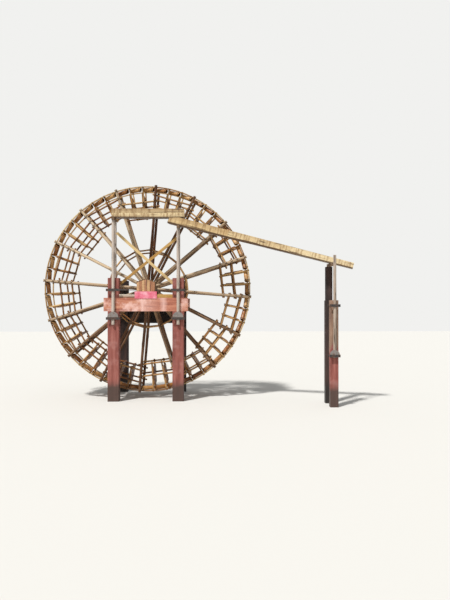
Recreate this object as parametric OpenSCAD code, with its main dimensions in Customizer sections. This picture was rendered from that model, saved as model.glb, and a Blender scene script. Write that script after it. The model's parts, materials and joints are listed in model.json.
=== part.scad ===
// River water wheel of poles and boards on a four-post frame, with the trough and
// the sloping flume that take its water away to a two-post bent.
// Seen from the front, x runs right, y runs back and z runs up from the posts' feet.
// The origin is the middle of the front left post's foot.

/* [Wheel] */
// Radius of the hoop's middle line
hoop_r = 3730; // [3500:10:3860]
// Spokes in each of the two spoke planes
spoke_count = 16; // [14:1:18]
// Angle of the first spoke above the level line
spoke_turn = -4.5; // [-11:0.5:11]
// Distance between the middles of the two spoke planes
rim_gap = 1400; // [1250:10:1480]
// Diameter of a spoke
spoke_d = 105; // [90:1:115]
// How far a spoke reaches past the hoop's middle line
spoke_past = 70; // [40:5:100]
// Diameter of the tenon at a spoke's inner end
tenon_d = 80; // [60:1:86]
// Depth of a spoke's socket in the hub
socket_depth = 60; // [40:1:80]
// Thickness of the hoop strip along the radius
hoop_t = 45; // [30:1:60]
// Sticks in each bay between two spokes
bay_sticks = 2; // [1:1:2]
// Diameter of a stick
stick_d = 60; // [45:1:65]
// How far a stick reaches past the hoop and past the inner rail
stick_past = 30; // [10:1:35]

/* [Rails] */
// Diameter of a rail
rail_d = 66; // [55:1:72]
// How far a rail reaches past the spoke that it crosses
rail_past = 140; // [60:5:180]
// Drop of the outer rail below the hoop in every other bay
outer_drop = 510; // [440:10:560]
// Drop of the inner rail below the hoop in the same bays
inner_drop = 950; // [880:10:1000]
// How much further out the rails of the bays between sit
bay_step = 220; // [150:5:240]
// Radius of the ring of ties round the hub
ring_r = 1430; // [1200:10:1700]
// Diameter of one of those ties
ring_d = 60; // [45:1:66]

/* [Hub and axle] */
// Radius of a hub
hub_r = 330; // [320:1:400]
// Width of a hub along the axle
hub_w = 240; // [180:5:280]
// Diameter of the axle between the bearings
axle_d = 280; // [220:1:300]
// Diameter of a journal
journal_d = 150; // [120:1:180]
// Free space between a journal and its bearing
journal_gap = 0.05; // [0.02:0.01:0.1]
// Free play between the axle's shoulder and a bearing
end_play = 10; // [6:1:20]

/* [Paddles and scoops] */
// Thickness of a paddle board
paddle_t = 25; // [18:1:35]
// Length of a paddle along the radius
paddle_h = 680; // [500:10:760]
// Outer diameter of a bamboo scoop
scoop_d = 156; // [120:1:160]
// Wall of a scoop
scoop_wall = 12; // [8:1:16]
// Length of a scoop
scoop_len = 430; // [400:5:440]
// How far the mouth reaches past the hoop that carries it
scoop_mouth = 70; // [60:1:75]
// Angle that turns the mouth from the rim towards the trough
scoop_tilt = 28; // [28:0.5:30]
// Distance along the rim from the hoop crossing to the next station
scoop_lead = 123; // [118:1:128]
// Height of the ring at a joint of the bamboo
scoop_ring = 4; // [2:0.5:5]

/* [Posts and beams] */
// Distance from the middle to a post, across the front
post_x = 1140; // [1000:10:1300]
// Distance from the wheel's middle plane to a row of posts
post_y = 1300; // [1290:5:1400]
// Side of a square post
post_w = 400; // [360:5:440]
// Chamfer on a post's corners
post_chamfer = 15; // [5:1:30]
// Height of a post below the beam
post_h = 3180; // [3100:10:3500]
// Height of the stub of post above the beam
stub_h = 700; // [650:10:800]
// Height of a beam
beam_h = 475; // [400:5:550]
// How far a beam reaches past its posts
beam_past = 140; // [60:5:250]
// Height of the lower beam between the rear posts
low_beam_h = 490; // [300:10:560]
// Thickness of that lower beam
low_beam_w = 200; // [120:10:300]
// Height of the sleepers on a beam
sleeper_h = 125; // [90:5:160]
// Gap between the two sleepers on one beam
sleeper_gap = 4; // [1:1:20]

/* [Bearings] */
// Width of a bearing block
block_w = 520; // [420:5:560]
// Depth of a bearing block along the axle
block_t = 300; // [240:5:340]
// Height of the axle above the sleepers
axle_rise = 220; // [180:5:260]
// Timber over the journal
block_over = 105; // [80:5:120]
// Width of a slatted bearing cover
cover_w = 640; // [600:5:700]
// Height of the cover at its shoulders
cover_h = 420; // [400:5:460]
// Rise of the cover's peak above its shoulders
cover_peak = 110; // [60:5:180]
// Slats in a cover
slat_count = 7; // [5:1:9]
// Thickness of a slat
slat_t = 30; // [20:1:35]
// Gap between two slats
slat_gap = 3; // [1:0.5:6]
// Thickness of the two boards that roof the cover
roof_t = 22; // [15:1:30]
// Width of the bare sign plate
sign_w = 780; // [600:10:900]
// Height of the sign plate
sign_h = 250; // [150:5:300]
// Thickness of the sign plate
sign_t = 12; // [6:1:20]
// How far the sign plate hangs below the top of the beam
sign_drop = 25; // [0:5:80]

/* [Poles and clamps] */
// Diameter of the poles that carry the trough
pole_d = 110; // [90:1:130]
// How far those poles reach below the lower clamps
pole_foot_past = 220; // [100:10:400]
// Drop of the lower clamps below the beam
low_clamp_drop = 250; // [240:5:320]
// Rise of the upper clamps above the beam
high_clamp_rise = 275; // [225:5:295]
// Height of a clamp plate
clamp_h = 90; // [60:5:100]
// Thickness of a clamp plate
clamp_t = 20; // [12:1:30]
// Diameter of a clamp's bolts and of the tie rod
bolt_d = 24; // [16:1:30]
// How far a clamp plate reaches past its bolts
clamp_past = 18; // [8:1:40]
// Radius of a domed shoe over a lower clamp of the trough poles
shoe_r = 190; // [160:5:200]
// Thickness of a shoe in front of the pole
shoe_wall = 20; // [10:1:30]
// Diameter of the sleeve at the left end of the tie rod
sleeve_d = 46; // [36:1:48]
// Length of that sleeve
sleeve_len = 230; // [100:5:300]
// Width of a brace board
brace_w = 100; // [70:1:120]
// Thickness of a brace board
brace_t = 25; // [18:1:32]
// Height of the braces' lower ends above the beam
brace_low = 440; // [420:5:520]
// Height of the left brace end above the lower ends
brace_left_rise = 1900; // [1600:10:2000]
// Height of the right brace end above the lower ends
brace_right_rise = 1720; // [1500:10:1900]

/* [Trough] */
// Left end of the trough, from the wheel's middle
trough_left = 1210; // [1200:10:1400]
// Right end of the trough, from the wheel's middle
trough_right = 1350; // [1250:10:1450]
// Drop of the trough's underside below the top of the hoop
trough_drop = 1240; // [1100:10:1400]
// Outer width of the trough
trough_w = 400; // [340:5:420]
// Height of the trough's sides
trough_h = 320; // [240:5:400]
// Thickness of the side boards
side_t = 25; // [18:1:35]
// Thickness of the floor boards
floor_t = 30; // [20:1:45]
// Height of a bearer under the trough
bearer_h = 100; // [80:5:150]
// Width of a bearer
bearer_w = 100; // [80:5:140]
// How far a bearer reaches past the poles
bearer_past = 50; // [20:5:120]

/* [Flume] */
// Upper end of the flume, from the wheel's middle
flume_x = 790; // [700:10:820]
// Drop of the flume's upper end below the trough's underside
flume_drop = 190; // [160:5:220]
// Length of the flume along its slope
flume_len = 6650; // [6400:10:7000]
// Fall of the flume below the level
flume_pitch = 14.6; // [14:0.1:15]
// Turn of the flume towards the front
flume_yaw = 11.3; // [10:0.1:12.5]
// Outer width of the flume
flume_w = 400; // [340:5:420]
// Height of the sides where they leave the trough
flume_h = 300; // [270:5:330]
// Height of the sides at the lower end
flume_end_h = 200; // [150:5:280]
// How deep a bearer is notched for the flume
notch = 15; // [5:1:25]

/* [Far bent] */
// Distance of the far posts from the wheel's middle, across the front
far_x = 6395; // [6200:5:6600]
// Distance between the two far posts
far_gap = 900; // [820:10:1000]
// Side of a far post
far_w = 270; // [240:5:290]
// Height of the far posts
far_h = 3560; // [3300:10:3700]
// Diameter of the front pole of the bent
far_pole_d = 105; // [85:1:120]
// How far that pole reaches below the lower far clamp
far_foot_past = 60; // [50:5:250]
// How far that pole stands above the flume's low sides
far_pole_past = 50; // [0:10:150]
// Side of the timber that stands on the rear post
far_timber_w = 220; // [160:5:240]
// Drop of the lower far clamp below the top of the far posts
far_low_drop = 1845; // [1200:5:2000]
// Radius of the domed shoe over that clamp
far_shoe_r = 150; // [120:5:155]
// Drop of the upper far clamp below the top of the far posts
far_high_drop = 180; // [150:10:500]

/* [Hidden] */
$fn = 48;

// Space left between pieces that are seated on each other
fit = 0.3;
// Space left where a straight scoop crosses under the curved hoop
scoop_seat = 1.2;

bay = 360 / spoke_count;
station = bay / (bay_sticks + 1);

beam_top = post_h + beam_h;
sleeper_top = beam_top + sleeper_h;
axle_z = sleeper_top + axle_rise;
low_clamp_z = post_h - low_clamp_drop;
high_clamp_z = beam_top + high_clamp_rise;
pole_foot = low_clamp_z - pole_foot_past;

spoke_y = rim_gap / 2;
rail_y = spoke_y - spoke_d / 2 - fit - rail_d / 2;
ring_y = spoke_y - spoke_d / 2 - fit - ring_d / 2;
stick_y = rail_y - rail_d / 2 - fit - stick_d / 2;
scoop_r = hoop_r - hoop_t / 2 - scoop_seat - scoop_d / 2;
paddle_out = scoop_r - scoop_d / 2 - 8;
hub_bore = axle_d + 2 * fit;
block_front = post_y + block_t / 2;
block_back = post_y - block_t / 2;
slat_back = block_front + bolt_d + 2 * fit;

pole_off = post_w / 2 + fit + pole_d / 2;
clamp_off = post_w / 2 + pole_d + 2 * fit;
bolt_off = post_w / 2 + fit + bolt_d / 2;
brace_y = post_y - post_w / 2 - fit;
brace_z = beam_top + brace_low;
brace_out = post_x - pole_d / 2 - 8;
brace_in = post_x - post_w / 2 + 90;

trough_z = axle_z + hoop_r - trough_drop;
flume_z = trough_z - flume_drop;
flume_fall = tan(flume_pitch) / cos(flume_yaw);

far_pier_off = far_gap / 2;
far_y = post_y + (far_x - flume_x) * tan(flume_yaw);
far_pole_off = far_pier_off + far_w / 2 + fit + far_pole_d / 2;
far_low_clamp_z = far_h - far_low_drop;
far_high_clamp_z = far_h - far_high_drop;
far_foot = far_low_clamp_z - far_foot_past;

// Height of the flume's underside above the ground at a distance from the wheel's middle
function flume_under(x) = flume_z - (x - flume_x) * flume_fall;
// Height of the underside of a bearer that is notched for the flume
function bearer_under(x) = flume_under(x) + notch - bearer_h;
// Angle of a spoke above the level line
function spoke_angle(i) = spoke_turn + bay * i;
// Radius at which the rails of a bay cross its spokes
function rail_r(drop, i) = hoop_r - drop + bay_step * (i % 2);

// Moves a piece from the wheel's middle plane to the origin at the front left foot
module placed() translate([post_x, post_y, 0]) children();

// Turns a piece about the axle, counted from the right and upwards
module turned(a) translate([0, 0, axle_z]) rotate([0, -a, 0]) children();

// Round stick of a length, laid along the radius from a start radius
module radial_stick(start, length, d) {
    translate([start, 0, 0])
        rotate([0, 90, 0])
            cylinder(h = length, d = d);
}

// Box centred across x and y that stands on a height
module standing(size, z) {
    translate([-size[0] / 2, -size[1] / 2, z])
        cube(size);
}

// Square post with chamfered corners
module chamfered_post(w, h) {
    c = min(post_chamfer, w / 4);
    linear_extrude(h)
        polygon([
            [-w / 2 + c, -w / 2],
            [w / 2 - c, -w / 2],
            [w / 2, -w / 2 + c],
            [w / 2, w / 2 - c],
            [w / 2 - c, w / 2],
            [-w / 2 + c, w / 2],
            [-w / 2, w / 2 - c],
            [-w / 2, -w / 2 + c],
        ]);
}

// Lower post and the stub that stands on the beam above it
module pier(x, y) {
    translate([x, y, 0]) {
        chamfered_post(post_w, post_h);
        translate([0, 0, beam_top])
            chamfered_post(post_w, stub_h);
    }
}

module beam(y) {
    translate([0, y, 0])
        standing([2 * post_x + post_w + 2 * beam_past, post_w, beam_h], post_h);
}

// The two timbers between the stubs of one beam
module sleeper_pair(y) {
    length = post_x - post_w / 2 - fit - sleeper_gap / 2;
    for (side = [-1, 1])
        translate([side * (length + sleeper_gap) / 2, y, 0])
            standing([length, post_w - 20, sleeper_h], beam_top);
}

// Timber block with the bore that a journal turns in
module bearing(y) {
    h = axle_rise + journal_d / 2 + block_over;
    translate([0, y, 0])
        difference() {
            standing([block_w, block_t, h], sleeper_top);
            translate([0, block_t, axle_z])
                rotate([90, 0, 0])
                    cylinder(h = 2 * block_t, d = journal_d + 2 * journal_gap);
        }
}

// Height of a cover's outline at a distance from its middle
function cover_top(x) = cover_h + cover_peak * (1 - abs(x) / (cover_w / 2));

// Upright slats in front of a bearing, under two sloping boards
module bearing_cover() {
    step = cover_w / slat_count;
    half = (step - slat_gap) / 2;
    translate([0, -slat_back, sleeper_top])
        rotate([90, 0, 0])
            linear_extrude(slat_t)
                for (i = [0 : slat_count - 1])
                    let (x = (i + 0.5) * step - cover_w / 2)
                        slat_outline(x, half);
    for (side = [-1, 1])
        roof_board(side);
}

// Outline of one slat, with a point at the peak where it is the middle one
module slat_outline(x, half) {
    peak = abs(x) < half ? [[0, cover_top(0)]] : [];
    polygon(concat(
        [[x - half, 0], [x + half, 0], [x + half, cover_top(x + half)]],
        peak,
        [[x - half, cover_top(x - half)]]
    ));
}

// One of the two sloping boards, from the slats back to the block's rear face
module roof_board(side) {
    edge = cover_w / 2 + 15;
    lift = fit + 0.2;
    depth = slat_back + slat_t - block_back;
    translate([0, -block_back, sleeper_top])
        rotate([90, 0, 0])
            linear_extrude(depth)
                polygon([
                    [side * 1, cover_top(0) + lift],
                    [side * edge, cover_top(edge) + lift],
                    [side * edge, cover_top(edge) + lift + roof_t],
                    [side * 1, cover_top(0) + lift + roof_t],
                ]);
}

// Two poles on the front and back faces of a front post, up to a height
module pole_pair(x, top) {
    for (side = [-1, 1])
        translate([x, -post_y + side * pole_off, pole_foot])
            cylinder(h = top - fit - pole_foot, d = pole_d);
}

// Two plates drawn together by two bolts, round a post and its poles
module clamp(half, front, back) {
    width = 2 * (half + fit + bolt_d + clamp_past);
    translate([-width / 2, front - clamp_t, -clamp_h / 2])
        cube([width, clamp_t, clamp_h]);
    translate([-width / 2, back, -clamp_h / 2])
        cube([width, clamp_t, clamp_h]);
    for (side = [-1, 1])
        translate([side * (half + fit + bolt_d / 2), back - fit, 0])
            rotate([90, 0, 0])
                cylinder(h = back - front - 2 * fit, d = bolt_d);
}

// Half round shoe of radius r on a post's face, bored for the pole of diameter d that passes through it
module shoe(side, r, d, face, clamp_z) {
    depth = d + fit + shoe_wall;
    translate([0, side * (face + fit + depth / 2), clamp_z + clamp_h / 2 + fit])
        difference() {
            rotate([90, 0, 0])
                linear_extrude(depth, center = true)
                    intersection() {
                        circle(r = r);
                        translate([-r, 0])
                            square([2 * r, r]);
                    }
            translate([0, side * (d / 2 - depth / 2), -1])
                cylinder(h = r + 2, d = d + 2 * fit);
        }
}

// Brace board with upright sawn ends, from a lower end to a higher end on the other side
module brace(low_x, high_x, rise, layer) {
    half = brace_w / 2 / cos(atan(rise / abs(high_x - low_x)));
    translate([0, -brace_y + layer * (brace_t + fit) + brace_t, brace_z])
        rotate([90, 0, 0])
            linear_extrude(brace_t)
                polygon([
                    [low_x, -half],
                    [high_x, rise - half],
                    [high_x, rise + half],
                    [low_x, half],
                ]);
}

// Moves a piece to the middle of the flume's underside at its upper end
module on_flume() {
    translate([flume_x, -post_y, flume_z])
        rotate([0, 0, -flume_yaw])
            rotate([0, flume_pitch, 0])
                children();
}

// Outline of a flume side, grown on its long edges
module flume_outline(grow) {
    polygon([
        [0, -grow],
        [flume_len, -grow],
        [flume_len, flume_end_h + grow],
        [0, flume_h + grow],
    ]);
}

// Space that the flume and its seat take up, to be cut from what carries it
module flume_space() {
    on_flume()
        rotate([90, 0, 0])
            linear_extrude(flume_w + 2 * fit, center = true)
                flume_outline(fit);
}

// Everything from the trough's underside upwards, to be cut from the flume sides that carry it
module trough_space() {
    translate([-trough_left, -post_y - trough_w, trough_z - fit])
        cube([trough_left + trough_right + fit, 2 * trough_w, trough_h]);
}

// Crossways timber between two distances from the wheel's middle plane, notched for the flume
module flume_bearer(x, front, back) {
    difference() {
        translate([x - bearer_w / 2, front, bearer_under(x)])
            cube([bearer_w, back - front, bearer_h]);
        flume_space();
    }
}

// Half of the wheel's rim pieces, in front or behind
module mirrored_side(side) {
    if (side < 0)
        children();
    else
        mirror([0, 1, 0])
            children();
}

module hub(side) {
    translate([0, side * spoke_y, axle_z])
        difference() {
            rotate([90, 0, 0])
                cylinder(h = hub_w, r = hub_r, center = true);
            rotate([90, 0, 0])
                cylinder(h = 2 * hub_w, d = hub_bore, center = true);
            for (i = [0 : spoke_count - 1])
                rotate([0, -spoke_angle(i), 0])
                    radial_stick(hub_r - socket_depth, 2 * socket_depth, tenon_d + 2 * fit);
        }
}

// Round poles with a tenon that stands in the hub
module spokes(side) {
    start = hub_r + fit;
    tenon_start = hub_r - socket_depth + fit;
    for (i = [0 : spoke_count - 1])
        turned(spoke_angle(i))
            translate([0, side * spoke_y, 0]) {
                radial_stick(start, hoop_r + spoke_past - start, spoke_d);
                radial_stick(tenon_start, socket_depth, tenon_d);
            }
}

// Short straight ties that butt behind each spoke
module hub_ring() {
    length = 2 * ring_r * sin(bay / 2) - ring_d * tan(bay / 2) - 3;
    for (i = [0 : spoke_count - 1])
        turned(spoke_angle(i) + bay / 2)
            translate([ring_r * cos(bay / 2), -ring_y, -length / 2])
                cylinder(h = length, d = ring_d);
}

// Straight poles lashed behind the spokes, two to a bay and stepped from bay to bay
module rails() {
    for (i = [0 : spoke_count - 1])
        for (drop = [outer_drop, inner_drop])
            let (r = rail_r(drop, i), length = 2 * (r * sin(bay / 2) + rail_past))
                turned(spoke_angle(i) + bay / 2)
                    translate([r * cos(bay / 2), -rail_y, -length / 2])
                        cylinder(h = length, d = rail_d);
}

// Sticks between the hoop and the inner rail of each bay
module sticks() {
    for (i = [0 : spoke_count - 1])
        for (j = [1 : bay_sticks])
            let (start = rail_r(inner_drop, i) * cos(bay / 2) - rail_d / 2 - stick_past)
                turned(spoke_angle(i) + station * j)
                    translate([0, -stick_y, 0])
                        radial_stick(start, hoop_r + hoop_t / 2 + stick_past - start, stick_d);
}

// Flat strip bent round the wheel, in lengths that meet on the spokes and sticks
module hoop() {
    joint = 1 / hoop_r * 180 / PI;
    translate([0, 0, axle_z])
        rotate([90, 0, 0])
            for (k = [0 : spoke_count * (bay_sticks + 1) - 1])
                rotate([0, 0, spoke_turn + station * k + joint])
                    rotate_extrude(angle = station - 2 * joint, $fn = 240)
                        translate([hoop_r - hoop_t / 2, rail_y - rail_d / 2])
                            square([hoop_t, rail_d]);
}

// Bamboo tube with its mouth upwards and the hoop crossing at its middle height of zero
module scoop() {
    inner = scoop_d / 2 - scoop_wall;
    outer = scoop_d / 2;
    ring_at = scoop_mouth - scoop_len / 2;
    tail = scoop_mouth - scoop_len;
    rotate_extrude()
        polygon([
            [0, tail],
            [outer, tail],
            [outer, ring_at - 12],
            [outer + scoop_ring, ring_at - 4],
            [outer + scoop_ring, ring_at + 4],
            [outer, ring_at + 12],
            [outer, scoop_mouth],
            [inner, scoop_mouth],
            [inner, tail + 2 * scoop_wall],
            [0, tail + 2 * scoop_wall],
        ]);
}

// Every fourth scoop round the rim, mouths leading and turned to the front
module scoops(first) {
    lead = scoop_lead / scoop_r * 180 / PI;
    for (k = [first : 4 : spoke_count * (bay_sticks + 1) - 1])
        turned(spoke_turn + station * k + lead)
            translate([scoop_r, -rail_y, 0])
                rotate([180 - scoop_tilt, 0, 0])
                    scoop();
}

module front_left_pier() {
    color("#a5645a")
        placed()
            pier(-post_x, -post_y);
}

module front_right_pier() {
    color("#a5645a")
        placed()
            pier(post_x, -post_y);
}

module rear_left_pier() {
    color("#8c544c")
        placed()
            pier(-post_x, post_y);
}

module rear_right_pier() {
    color("#8c544c")
        placed()
            pier(post_x, post_y);
}

module front_beam() {
    color("#bd7d64")
        placed()
            beam(-post_y);
}

module rear_beam() {
    color("#bd7d64")
        placed()
            beam(post_y);
}

// Dark beam under the rear one, seen behind the wheel below the front beam
module rear_low_beam() {
    color("#3f3029")
        placed()
            translate([0, post_y, 0])
                standing([2 * post_x - post_w - 2 * fit, low_beam_w, low_beam_h], post_h - fit - low_beam_h);
}

module sleepers() {
    color("#b58d5e")
        placed() {
            sleeper_pair(-post_y);
            sleeper_pair(post_y);
        }
}

module front_bearing() {
    color("#7d5a40")
        placed()
            bearing(-post_y);
}

module rear_bearing() {
    color("#7d5a40")
        placed()
            bearing(post_y);
}

module front_bearing_cover() {
    color("#bb8468")
        placed()
            bearing_cover();
}

module rear_bearing_cover() {
    color("#bb8468")
        placed()
            mirror([0, 1, 0])
                bearing_cover();
}

module sign_plate() {
    color("#e05f7c")
        placed()
            translate([0, -slat_back - slat_t - fit - sign_t / 2, 0])
                standing([sign_w, sign_t, sign_h], beam_top - sign_drop);
}

module left_poles() {
    color("#a8947f")
        placed()
            pole_pair(-post_x, trough_z - bearer_h);
}

module right_poles() {
    color("#a8947f")
        placed()
            pole_pair(post_x, bearer_under(post_x));
}

module pole_clamps() {
    color("#5a5654")
        placed()
            for (x = [-post_x, post_x])
                for (z = [low_clamp_z, high_clamp_z])
                    translate([x, -post_y, z])
                        clamp(post_w / 2, -clamp_off, clamp_off);
}

module pole_shoes() {
    color("#7c7470")
        placed() {
            for (x = [-post_x, post_x])
                for (side = [-1, 1])
                    translate([x, -post_y, 0])
                        shoe(side, shoe_r, pole_d, post_w / 2, low_clamp_z);
            translate([far_x, -far_y - far_pier_off, 0])
                shoe(-1, far_shoe_r, far_pole_d, far_w / 2, far_low_clamp_z);
        }
}

module tie_rod() {
    reach = post_x - bolt_off - bolt_d / 2 - fit;
    color("#3f3b3a")
        placed()
            translate([-reach, -block_front - fit - bolt_d / 2, high_clamp_z])
                rotate([0, 90, 0]) {
                    cylinder(h = 2 * reach, d = bolt_d);
                    cylinder(h = sleeve_len, d = sleeve_d);
                }
}

module cross_braces() {
    color("#cbaa6a")
        placed() {
            brace(brace_in, -brace_out, brace_left_rise, 0);
            brace(-brace_in, brace_out, brace_right_rise, 1);
        }
}

module trough_floor() {
    color("#d2b072")
        placed()
            translate([-trough_left, -post_y, trough_z])
                translate([0, side_t + fit - trough_w / 2, 0])
                    cube([trough_left + trough_right, trough_w - 2 * side_t - 2 * fit, floor_t]);
}

module trough_sides() {
    color("#d8b777")
        placed()
            for (y = [-trough_w / 2, trough_w / 2 - side_t])
                translate([-trough_left, y - post_y, trough_z])
                    cube([trough_left + trough_right, side_t, trough_h]);
}

module trough_end() {
    color("#d2b072")
        placed()
            translate([-trough_left, side_t + fit - trough_w / 2 - post_y, trough_z + floor_t + fit])
                cube([side_t, trough_w - 2 * side_t - 2 * fit, trough_h - floor_t - fit]);
}

// Bearer on the left poles; the trough's right end lies on the flume's sides
module trough_bearer() {
    reach = pole_off + pole_d / 2 + bearer_past;
    color("#8a6b4a")
        placed()
            translate([-post_x, -post_y, 0])
                standing([bearer_w, 2 * reach, bearer_h - fit], trough_z - bearer_h);
}

module flume_floor() {
    color("#cda968")
        placed()
            on_flume()
                translate([0, side_t + fit - flume_w / 2, 0])
                    cube([flume_len, flume_w - 2 * side_t - 2 * fit, floor_t]);
}

module flume_sides() {
    color("#d8b777")
        placed()
            difference() {
                on_flume()
                    for (y = [-flume_w / 2 + side_t, flume_w / 2])
                        translate([0, y, 0])
                            rotate([90, 0, 0])
                                linear_extrude(side_t)
                                    flume_outline(0);
                trough_space();
            }
}

module flume_bearers() {
    reach = pole_off + pole_d / 2 + bearer_past;
    color("#8a6b4a")
        placed() {
            flume_bearer(post_x, -post_y - reach, -post_y + reach);
            flume_bearer(
                far_x,
                -far_y - far_pole_off + far_pole_d / 2 + fit,
                -far_y + far_pier_off + far_timber_w / 2
            );
        }
}

module far_front_pier() {
    color("#a5645a")
        placed()
            translate([far_x, -far_y - far_pier_off, 0])
                chamfered_post(far_w, far_h);
}

// Rear post of the bent, with the timber that stands on it up to the flume's bearer
module far_rear_pier() {
    color("#6d4a40")
        placed()
            translate([far_x, -far_y + far_pier_off, 0]) {
                chamfered_post(far_w, far_h);
                standing([far_timber_w, far_timber_w, bearer_under(far_x) - far_h - 2 * fit], far_h + fit);
            }
}

module far_pole() {
    color("#a8947f")
        placed()
            translate([far_x, -far_y - far_pole_off, far_foot])
                cylinder(h = flume_under(far_x) + flume_end_h + far_pole_past - far_foot, d = far_pole_d);
}

module far_clamps() {
    half = far_w / 2;
    color("#5a5654")
        placed()
            for (z = [far_low_clamp_z, far_high_clamp_z])
                translate([far_x, -far_y - far_pier_off, z])
                    clamp(half, -half - far_pole_d - 2 * fit, half + fit);
}

// Timber axle with a journal turned on each end
module axle() {
    shoulder = block_back - end_play;
    journal_end = block_front - end_play;
    color("#8b6a48")
        placed()
            translate([0, 0, axle_z])
                rotate([90, 0, 0]) {
                    cylinder(h = 2 * shoulder, d = axle_d, center = true);
                    cylinder(h = 2 * journal_end, d = journal_d, center = true);
                }
}

module front_hub() {
    color("#7a5a3c")
        placed()
            hub(-1);
}

module rear_hub() {
    color("#7a5a3c")
        placed()
            hub(1);
}

module front_spokes() {
    color("#d3bd9f")
        placed()
            spokes(-1);
}

module rear_spokes() {
    color("#a98c66")
        placed()
            spokes(1);
}

module hub_rings() {
    color("#a88456")
        placed()
            for (side = [-1, 1])
                mirrored_side(side)
                    hub_ring();
}

module front_rails() {
    color("#b98750")
        placed()
            rails();
}

module rear_rails() {
    color("#a0713f")
        placed()
            mirrored_side(1)
                rails();
}

module front_sticks() {
    color("#cdb48c")
        placed()
            sticks();
}

module rear_sticks() {
    color("#a98c66")
        placed()
            mirrored_side(1)
                sticks();
}

module front_hoop() {
    color("#dcc896")
        placed()
            hoop();
}

module rear_hoop() {
    color("#c8b07c")
        placed()
            mirrored_side(1)
                hoop();
}

// Boards laid against the front and rear sticks of each station
module paddles() {
    width = 2 * (stick_y + stick_d / 3);
    color("#b9824a")
        placed()
            for (i = [0 : spoke_count - 1])
                for (j = [1 : bay_sticks])
                    turned(spoke_angle(i) + station * j)
                        translate([paddle_out - paddle_h, -width / 2, stick_d / 2 + fit])
                            cube([paddle_h, width, paddle_t]);
}

module scoops_a() {
    color("#c99f6e")
        placed()
            scoops(0);
}

module scoops_b() {
    color("#c99f6e")
        placed()
            scoops(1);
}

module scoops_c() {
    color("#c99f6e")
        placed()
            scoops(2);
}

module scoops_d() {
    color("#c99f6e")
        placed()
            scoops(3);
}

front_left_pier();
front_right_pier();
rear_left_pier();
rear_right_pier();
front_beam();
rear_beam();
rear_low_beam();
sleepers();
front_bearing();
rear_bearing();
front_bearing_cover();
rear_bearing_cover();
sign_plate();
left_poles();
right_poles();
pole_clamps();
pole_shoes();
tie_rod();
cross_braces();
trough_floor();
trough_sides();
trough_end();
trough_bearer();
flume_floor();
flume_sides();
flume_bearers();
far_front_pier();
far_rear_pier();
far_pole();
far_clamps();
axle();
front_hub();
rear_hub();
front_spokes();
rear_spokes();
hub_rings();
front_rails();
rear_rails();
front_sticks();
rear_sticks();
front_hoop();
rear_hoop();
paddles();
scoops_a();
scoops_b();
scoops_c();
scoops_d();
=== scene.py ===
import json
import random
from functools import partial
from math import copysign, cos, degrees, dist, exp, pi, radians, sin, tan

import bpy
from mathutils import Matrix, Vector, noise


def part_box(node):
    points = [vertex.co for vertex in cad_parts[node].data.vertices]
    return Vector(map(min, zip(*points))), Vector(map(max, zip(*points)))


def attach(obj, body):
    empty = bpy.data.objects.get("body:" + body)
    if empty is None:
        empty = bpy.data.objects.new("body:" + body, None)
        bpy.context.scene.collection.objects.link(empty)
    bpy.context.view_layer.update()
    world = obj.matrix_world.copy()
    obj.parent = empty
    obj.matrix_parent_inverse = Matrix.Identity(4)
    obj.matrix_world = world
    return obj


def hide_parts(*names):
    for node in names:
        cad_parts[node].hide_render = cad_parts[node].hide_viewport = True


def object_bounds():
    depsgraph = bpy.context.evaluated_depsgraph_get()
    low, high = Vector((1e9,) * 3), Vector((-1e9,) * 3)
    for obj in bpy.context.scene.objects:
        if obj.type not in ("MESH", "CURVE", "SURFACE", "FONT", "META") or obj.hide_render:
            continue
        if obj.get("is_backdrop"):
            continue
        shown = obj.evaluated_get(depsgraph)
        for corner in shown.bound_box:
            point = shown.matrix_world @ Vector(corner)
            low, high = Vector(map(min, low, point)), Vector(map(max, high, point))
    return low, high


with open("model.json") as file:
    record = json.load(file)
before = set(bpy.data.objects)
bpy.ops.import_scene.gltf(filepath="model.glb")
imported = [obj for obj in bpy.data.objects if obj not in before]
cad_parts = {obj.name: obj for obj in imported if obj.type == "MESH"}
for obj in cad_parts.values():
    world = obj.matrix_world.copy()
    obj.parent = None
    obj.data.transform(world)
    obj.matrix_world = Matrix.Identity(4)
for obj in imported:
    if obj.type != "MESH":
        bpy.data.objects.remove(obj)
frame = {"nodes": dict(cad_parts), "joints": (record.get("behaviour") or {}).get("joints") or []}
cadLow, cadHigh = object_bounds()
print("frame loaded:", len(frame["nodes"]), "nodes")

# Where the wheel is, read from the frame
hubCentre = Vector(frame["joints"][0]["pos_m"])
acrossWheel = Vector((0, 1, 0))


# Colours and nodes

# What a kind of node does unless a call says otherwise, and the sockets of a mix of two colours
usual = {"Mix": {"data_type": "RGBA"}, "Math": {"operation": "MULTIPLY_ADD"}}
mixSockets = {"share": 0, "under": 6, "over": 7}
mixResult = 2


def toLinear(hexColour):
    channels = [int(hexColour[i:i + 2], 16) / 255 for i in (1, 3, 5)]
    return [c / 12.92 if c <= 0.04045 else ((c + 0.055) / 1.055) ** 2.4 for c in channels] + [1.0]


# An input takes a value, a socket, or a node, which then stands for its main result
def setInputs(node, values):
    for name, value in values.items():
        if isinstance(value, bpy.types.Node):
            value = value.outputs[mixResult if value.bl_idname == "ShaderNodeMix" else 0]
        if isinstance(value, bpy.types.NodeSocket):
            node.id_data.links.new(value, node.inputs[name])
        else:
            node.inputs[name].default_value = toLinear(value) if isinstance(value, str) else value


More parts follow.
